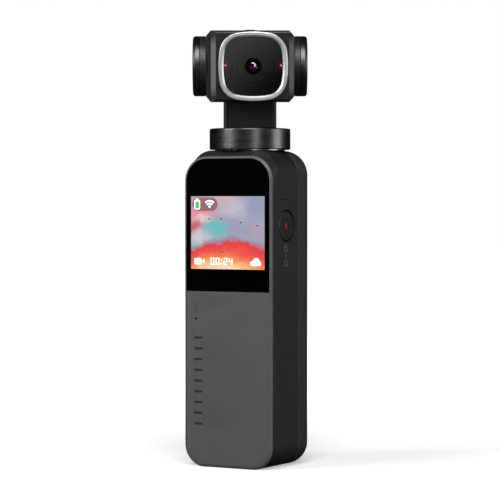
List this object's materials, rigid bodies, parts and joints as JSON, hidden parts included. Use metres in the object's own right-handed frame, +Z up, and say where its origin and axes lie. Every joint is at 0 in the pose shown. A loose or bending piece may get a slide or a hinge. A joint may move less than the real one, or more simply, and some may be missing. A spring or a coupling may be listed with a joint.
{
  "type": "pocket gimbal camera",
  "caption": "Hand-held pocket camera: slim handle with a small screen, record button and card slot, and a stabilised camera head that pans, rolls and tilts on its own motors.",
  "frame": {"origin": "centre of the handle's flat base, on the surface it stands on", "axes": "+Z up along the handle towards the head, -Y out of the screen, +X out of the record button's side"},
  "size_m": [0.037, 0.0373, 0.1231],
  "materials": {
    "casing": "fine matt black",
    "rear_casing": "fine matt dark grey",
    "bezel": "satin dark grey anodised",
    "cover_glass": "black backed glossy glass",
    "grey_cover": "satin grey",
    "button_cap": "satin black",
    "steel": "fine turned",
    "stator_iron": "laminated",
    "copper": "enamelled wire",
    "magnet": "nickel plated",
    "lcd": "gloss",
    "diffuser": "translucent white",
    "ribbon": "amber film",
    "board": "solder mask",
    "chip": "moulded package",
    "graphite": "graphite film",
    "battery_foil": "pouch foil",
    "foam": "soft foam",
    "card_plastic": "moulded",
    "motor_base": "machined",
    "drum": "turned and anodised black",
    "arm": "satin black",
    "motor_cap": "turned and anodised black",
    "camera_casing": "satin black",
    "lens_rim": "polished with a bright bevel",
    "lens_cover": "smoked, coated",
    "lens_black": "dead matt",
    "optics": "purple coated",
    "tally": "red lamp"
  },
  "bodies": {
    "handle": {"main_shell": "casing", "rear_cover": "rear_casing", "front_bezel": "bezel", "screen_glass": "cover_glass", "front_cover": "grey_cover", "housing_screws": "steel", "lcd_panel": "lcd", "lcd_backlight": "diffuser", "display_flex": "ribbon", "key_board": "board", "tact_switch": "chip", "microphones": "chip", "speaker": "chip", "main_board": "board", "processor": "chip", "shield_can": "steel", "heat_spreader": "graphite", "battery_cell": "battery_foil", "battery_pad": "foam", "usb_c_socket": "steel", "card_socket": "steel", "wireless_antenna": "ribbon", "pan_motor_base": "motor_base", "pan_stator": "stator_iron", "pan_coils": "copper", "pan_bearings": "steel"},
    "button": {"record_button": "button_cap"},
    "card": {"memory_card": "card_plastic"},
    "pan_head": {"pan_rotor_cap": "drum", "pan_magnets": "magnet", "pan_shaft": "steel", "yaw_arm": "arm", "arm_cover": "arm", "arm_flex": "ribbon", "roll_motor_cap": "motor_cap", "roll_stator": "stator_iron", "roll_coils": "copper", "roll_bearings": "steel"},
    "roll_frame": {"roll_shaft": "steel", "roll_bell": "steel", "roll_magnets": "magnet", "roll_fork": "arm", "pitch_motor_cap": "motor_cap", "pivot_cap": "motor_cap", "pitch_coils": "copper", "pitch_bearings": "steel"},
    "camera_head": {"camera_front_shell": "camera_casing", "camera_rear_shell": "camera_casing", "lens_ring": "lens_rim", "lens_glass": "lens_cover", "lens_barrel": "lens_black", "lens_elements": "optics", "image_sensor": "chip", "sensor_board": "board", "tally_lights": "tally", "pitch_rotor": "steel", "pitch_magnets": "magnet", "pivot_pin": "steel", "pivot_seals": "foam"}
  },
  "joints": [
    {"name": "pan", "type": "hinge", "parent": "handle", "child": "pan_head", "pos_m": [0, 0, 0.0914], "axis": [0, 0, 1], "range_deg": [-80, 200]},
    {"name": "roll", "type": "hinge", "parent": "pan_head", "child": "roll_frame", "pos_m": [0, 0, 0.1119], "axis": [-0.5, 0.866, 0], "range_deg": [-45, 45]},
    {"name": "tilt", "type": "hinge", "parent": "roll_frame", "child": "camera_head", "pos_m": [0, 0, 0.1119], "axis": [0.866, 0.5, 0], "range_deg": [-70, 86]},
    {"name": "record_press", "type": "slide", "parent": "handle", "child": "button", "axis": [-1, 0, 0], "range_m": [0, 0.00035], "stiffness_N_per_m": 3000, "springref_m": -0.0002},
    {"name": "card_slide", "type": "slide", "parent": "handle", "child": "card", "axis": [-1, 0, 0], "range_m": [0, 0.012]}
  ]
}
